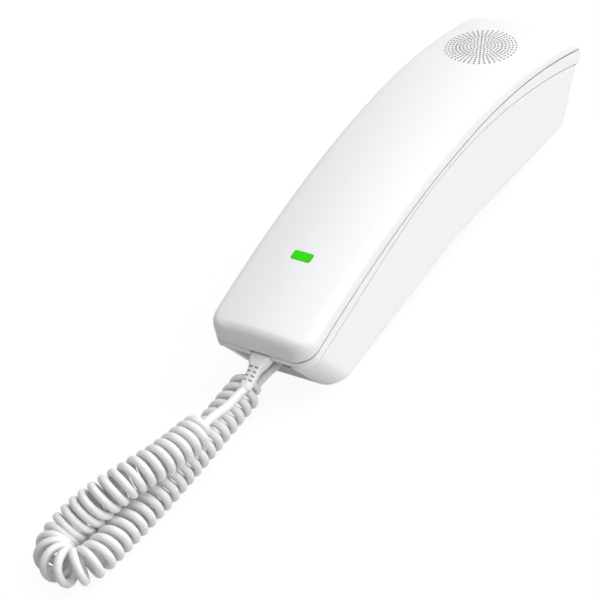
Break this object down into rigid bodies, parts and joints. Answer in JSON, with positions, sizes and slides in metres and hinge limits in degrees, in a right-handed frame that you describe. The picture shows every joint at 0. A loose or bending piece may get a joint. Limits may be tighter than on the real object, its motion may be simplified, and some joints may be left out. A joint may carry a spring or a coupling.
{
  "type": "wall telephone",
  "caption": "Slim arched one-piece handset with keypad in its inner face, resting on a shallow wall base, with a curly handset cord.",
  "frame": {"origin": "middle of the plane that the base's feet stand on, under the middle of the handset", "axes": "+X across the phone, +Y along it towards the earpiece, +Z out of the wall or up from the table"},
  "size_m": [0.0597, 0.3446, 0.0515],
  "materials": {
    "white": "satin white ABS",
    "key_white": "satin white ABS",
    "lens_green": "translucent green, lit",
    "cord_white": "soft white vinyl",
    "boot_white": "soft white vinyl",
    "black_plastic": "moulded black",
    "dark_rubber": "matte",
    "mat_grey": "silicone",
    "board_green": "solder resist",
    "led_white": "clear resin",
    "steel": "zinc plated",
    "magnet_steel": "plated",
    "cone_black": "film",
    "cloth_black": "woven",
    "plug_clear": "clear polycarbonate"
  },
  "bodies": {
    "base": {"base_shell": "white", "base_back_cover": "white", "base_circuit_board": "board_green", "board_screws": "steel", "cover_screws": "steel", "rubber_feet": "dark_rubber", "hook_spring": "steel", "hook_switch": "black_plastic", "handset_cord_jack": "black_plastic", "line_jack": "black_plastic", "handset_cord_lead": "cord_white", "handset_curly_cord": "cord_white", "handset_cord_tail": "cord_white", "cord_plug": "plug_clear"},
    "handset": {"handset_outer_shell": "white", "handset_inner_shell": "white", "lamp_lens": "lens_green", "message_lamp_led": "led_white", "ringer_speaker_frame": "black_plastic", "ringer_speaker_magnet": "magnet_steel", "ringer_speaker_cone": "cone_black", "ringer_cloth": "cloth_black", "earpiece_receiver": "black_plastic", "earpiece_gasket": "dark_rubber", "microphone": "steel", "microphone_boot": "dark_rubber", "handset_circuit_board": "board_green", "keypad_mat": "mat_grey", "handset_screws": "steel", "cord_boot": "boot_white"},
    "hook_plunger": {"hook_plunger": "key_white"},
    "hanger_tab": {"hanger_tab": "key_white"},
    "key_1": {"key_1": "key_white"},
    "key_2": {"key_2": "key_white"},
    "key_3": {"key_3": "key_white"},
    "key_4": {"key_4": "key_white"},
    "key_5": {"key_5": "key_white"},
    "key_6": {"key_6": "key_white"},
    "key_7": {"key_7": "key_white"},
    "key_8": {"key_8": "key_white"},
    "key_9": {"key_9": "key_white"},
    "key_star": {"key_star": "key_white"},
    "key_0": {"key_0": "key_white"},
    "key_hash": {"key_hash": "key_white"},
    "key_redial": {"key_redial": "key_white"},
    "key_mute": {"key_mute": "key_white"},
    "key_volume_down": {"key_volume_down": "key_white"},
    "key_volume_up": {"key_volume_up": "key_white"}
  },
  "joints": [
    {"name": "handset_lift", "type": "slide", "parent": "base", "child": "handset", "axis": [0, 0, 1], "range_m": [0, 0.06]},
    {"name": "hook_plunger_slide", "type": "slide", "parent": "base", "child": "hook_plunger", "axis": [0, 0, 1], "range_m": [0, 0.003], "deforming": ["hook_spring"]},
    {"name": "hanger_tab_slide", "type": "slide", "parent": "base", "child": "hanger_tab", "axis": [0, 0, 1], "range_m": [0, 0.0035]},
    {"name": "key_1_press", "type": "slide", "parent": "handset", "child": "key_1", "axis": [0, -0.2125, 0.9772], "range_m": [0, 0.0008], "stiffness_N_per_m": 500, "springref_m": -0.0004},
    {"name": "key_2_press", "type": "slide", "parent": "handset", "child": "key_2", "axis": [0, -0.2125, 0.9772], "range_m": [0, 0.0008], "stiffness_N_per_m": 500, "springref_m": -0.0004},
    {"name": "key_3_press", "type": "slide", "parent": "handset", "child": "key_3", "axis": [0, -0.2125, 0.9772], "range_m": [0, 0.0008], "stiffness_N_per_m": 500, "springref_m": -0.0004},
    {"name": "key_4_press", "type": "slide", "parent": "handset", "child": "key_4", "axis": [0, -0.2185, 0.9758], "range_m": [0, 0.0008], "stiffness_N_per_m": 500, "springref_m": -0.0004},
    {"name": "key_5_press", "type": "slide", "parent": "handset", "child": "key_5", "axis": [0, -0.2185, 0.9758], "range_m": [0, 0.0008], "stiffness_N_per_m": 500, "springref_m": -0.0004},
    {"name": "key_6_press", "type": "slide", "parent": "handset", "child": "key_6", "axis": [0, -0.2185, 0.9758], "range_m": [0, 0.0008], "stiffness_N_per_m": 500, "springref_m": -0.0004},
    {"name": "key_7_press", "type": "slide", "parent": "handset", "child": "key_7", "axis": [0, -0.2179, 0.976], "range_m": [0, 0.0008], "stiffness_N_per_m": 500, "springref_m": -0.0004},
    {"name": "key_8_press", "type": "slide", "parent": "handset", "child": "key_8", "axis": [0, -0.2179, 0.976], "range_m": [0, 0.0008], "stiffness_N_per_m": 500, "springref_m": -0.0004},
    {"name": "key_9_press", "type": "slide", "parent": "handset", "child": "key_9", "axis": [0, -0.2179, 0.976], "range_m": [0, 0.0008], "stiffness_N_per_m": 500, "springref_m": -0.0004},
    {"name": "key_star_press", "type": "slide", "parent": "handset", "child": "key_star", "axis": [0, -0.2137, 0.9769], "range_m": [0, 0.0008], "stiffness_N_per_m": 500, "springref_m": -0.0004},
    {"name": "key_0_press", "type": "slide", "parent": "handset", "child": "key_0", "axis": [0, -0.2137, 0.9769], "range_m": [0, 0.0008], "stiffness_N_per_m": 500, "springref_m": -0.0004},
    {"name": "key_hash_press", "type": "slide", "parent": "handset", "child": "key_hash", "axis": [0, -0.2137, 0.9769], "range_m": [0, 0.0008], "stiffness_N_per_m": 500, "springref_m": -0.0004},
    {"name": "key_redial_press", "type": "slide", "parent": "handset", "child": "key_redial", "axis": [0, -0.1973, 0.9804], "range_m": [0, 0.0008], "stiffness_N_per_m": 500, "springref_m": -0.0004},
    {"name": "key_mute_press", "type": "slide", "parent": "handset", "child": "key_mute", "axis": [0, -0.1973, 0.9804], "range_m": [0, 0.0008], "stiffness_N_per_m": 500, "springref_m": -0.0004},
    {"name": "key_volume_down_press", "type": "slide", "parent": "handset", "child": "key_volume_down", "axis": [0, -0.1973, 0.9804], "range_m": [0, 0.0008], "stiffness_N_per_m": 500, "springref_m": -0.0004},
    {"name": "key_volume_up_press", "type": "slide", "parent": "handset", "child": "key_volume_up", "axis": [0, -0.1973, 0.9804], "range_m": [0, 0.0008], "stiffness_N_per_m": 500, "springref_m": -0.0004}
  ],
  "couplings": [
    {"joint": "hook_plunger_slide", "follows": "handset_lift", "ratio": 0.05}
  ]
}
